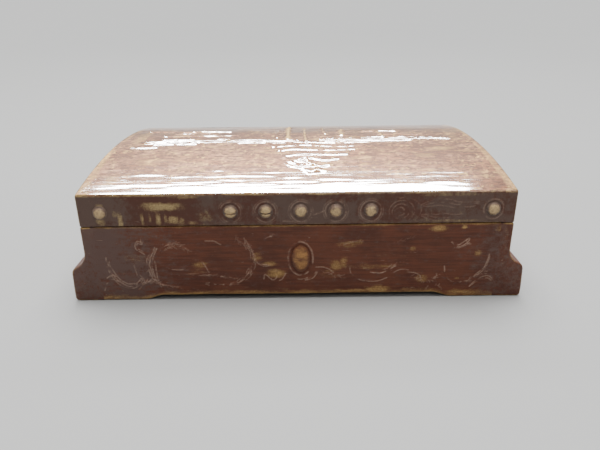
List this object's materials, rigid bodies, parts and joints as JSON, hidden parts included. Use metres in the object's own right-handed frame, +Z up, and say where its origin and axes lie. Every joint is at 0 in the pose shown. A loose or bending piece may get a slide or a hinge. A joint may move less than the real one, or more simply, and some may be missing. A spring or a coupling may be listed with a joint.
{
  "type": "jewelry box",
  "caption": "Hinged wooden jewelry box with an arched lid, bracket feet, domed studs, an oval boss and a velvet-lined inside with trays and ring rolls.",
  "frame": {"origin": "middle of the footprint of the whole box, on the surface that its feet stand on", "axes": "+X along the length, +Z up, the studded front faces -Y and the hinges are at +Y"},
  "size_m": [0.2716, 0.1672, 0.0765],
  "materials": {
    "lacquered_wood": "aged oxblood lacquer with worn ochre gilding",
    "plain_wood": "plain, unlacquered",
    "gilt_wood": "worn gilding over carved wood",
    "gilt_metal": "aged brass with a dark ring of old lacquer",
    "hinge_brass": "aged satin",
    "screw_steel": "brass-washed steel, slotted",
    "velvet": "short-pile velvet over card or padding"
  },
  "bodies": {
    "base": {"front_board": "lacquered_wood", "back_board": "lacquered_wood", "bottom_board": "plain_wood", "left_end_board": "lacquered_wood", "right_end_board": "lacquered_wood", "front_medallion": "gilt_wood", "left_hinge_base_leaf": "hinge_brass", "left_hinge_pin": "hinge_brass", "left_hinge_base_screws": "screw_steel", "right_hinge_base_leaf": "hinge_brass", "right_hinge_pin": "hinge_brass", "right_hinge_base_screws": "screw_steel", "front_wall_lining": "velvet", "back_wall_lining": "velvet", "left_wall_lining": "velvet", "right_wall_lining": "velvet", "cross_divider": "velvet", "long_divider": "velvet", "front_floor_pad": "velvet", "back_floor_pad": "velvet", "ring_roll_1": "velvet", "ring_roll_2": "velvet", "ring_roll_3": "velvet", "ring_roll_4": "velvet", "ring_roll_5": "velvet"},
    "lid": {"lid_front_rail": "lacquered_wood", "lid_back_rail": "lacquered_wood", "lid_left_end": "lacquered_wood", "lid_right_end": "lacquered_wood", "lid_top_panel": "lacquered_wood", "left_hinge_lid_leaf": "hinge_brass", "left_hinge_lid_screws": "screw_steel", "right_hinge_lid_leaf": "hinge_brass", "right_hinge_lid_screws": "screw_steel", "lid_lining_pad": "velvet", "lid_front_lining": "velvet", "lid_back_lining": "velvet", "lid_left_lining": "velvet", "lid_right_lining": "velvet", "stud_1": "gilt_metal", "stud_2": "gilt_metal", "stud_3": "gilt_metal", "stud_4": "gilt_metal", "stud_5": "gilt_metal", "stud_6": "gilt_metal", "stud_7": "gilt_metal"}
  },
  "joints": [
    {"name": "lid_hinge", "type": "hinge", "parent": "base", "child": "lid", "pos_m": [0, 0.0812, 0.04875], "axis": [-1, 0, 0], "range_deg": [0, 98]}
  ]
}
